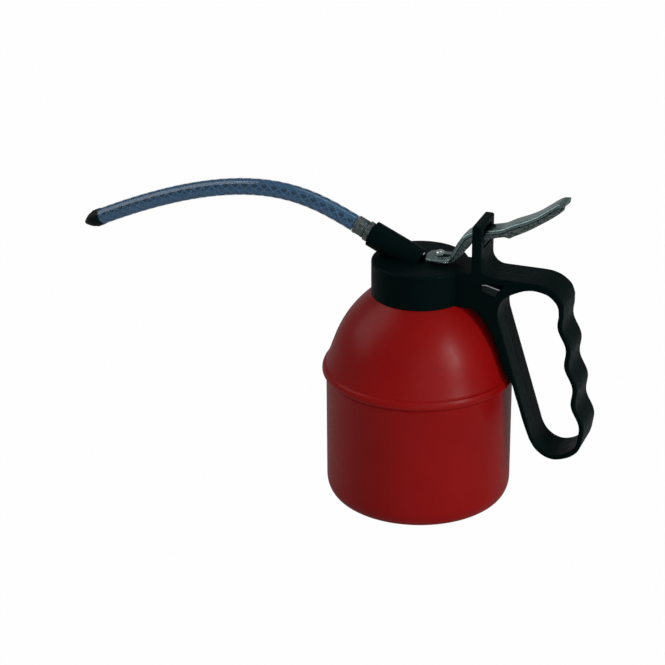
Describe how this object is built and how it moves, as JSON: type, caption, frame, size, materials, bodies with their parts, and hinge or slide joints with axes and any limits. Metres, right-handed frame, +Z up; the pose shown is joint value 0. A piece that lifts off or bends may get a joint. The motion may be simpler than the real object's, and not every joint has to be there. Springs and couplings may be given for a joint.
{
  "type": "plastic oil can",
  "caption": "Hand oil can with a screw-on lever pump head, a loop handle with a wavy grip and a curved clear hose spout.",
  "frame": {"origin": "centre of the can's flat base, on the can's axis", "axes": "+Z up along the can's axis, +X towards the handle, -X towards the spout, +Y across the handle"},
  "size_m": [0.2621, 0.094, 0.1601],
  "materials": {
    "can_red": "satin red plastic with a fine grain",
    "head_black": "black satin moulded plastic",
    "lever_chrome": "bright chrome over pressed sheet steel",
    "fitting_zinc": "dull zinc",
    "bright_steel": "bright steel",
    "hose_blue": "clear blue hose with a braid in its wall",
    "nozzle_grey": "dark grey moulded plastic",
    "tube_clear": "clear plastic tube",
    "inner_white": "natural white plastic",
    "seal_rubber": "black rubber"
  },
  "bodies": {
    "can": {"can_body": "can_red", "can_dome": "can_red", "neck_gasket": "seal_rubber"},
    "head": {"pump_head": "head_black", "gland_bush": "fitting_zinc", "rod_seal": "seal_rubber", "pump_cylinder": "inner_white", "inlet_cage": "inner_white", "suction_tube": "tube_clear", "foot_strainer": "inner_white", "channel_plug": "bright_steel", "spout_nipple": "fitting_zinc", "nipple_seal": "seal_rubber", "spout_ferrule": "fitting_zinc", "spout_hose": "hose_blue", "spout_nozzle": "nozzle_grey", "lever_pin": "bright_steel"},
    "lever": {"pump_lever": "lever_chrome"},
    "plunger": {"plunger_rod": "bright_steel", "plunger_head": "bright_steel", "piston": "inner_white", "piston_seal": "seal_rubber", "piston_nut": "bright_steel", "return_spring": "bright_steel"},
    "inlet_valve": {"inlet_ball": "bright_steel"},
    "piston_valve": {"piston_ball": "bright_steel"}
  },
  "joints": [
    {"name": "head_lift", "type": "slide", "parent": "can", "child": "head", "axis": [0, 0, 1], "range_m": [0, 0.115]},
    {"name": "lever_pivot", "type": "hinge", "parent": "head", "child": "lever", "pos_m": [0.0307, 0, 0.1383], "axis": [0, 1, 0], "range_deg": [0, 17], "stiffness_Nm_per_rad": 0.6, "springref_deg": -14.32},
    {"name": "plunger_lift", "type": "slide", "parent": "head", "child": "plunger", "axis": [0, 0, 1], "range_m": [0, 0.0065], "deforming": ["return_spring"]},
    {"name": "inlet_ball_lift", "type": "slide", "parent": "head", "child": "inlet_valve", "axis": [0, 0, 1], "range_m": [0, 0.001]},
    {"name": "piston_ball_lift", "type": "slide", "parent": "plunger", "child": "piston_valve", "axis": [0, 0, 1], "range_m": [0, 0.0008]}
  ],
  "couplings": [
    {"joint": "plunger_lift", "follows": "lever_pivot", "m_per_rad": 0.0219}
  ]
}
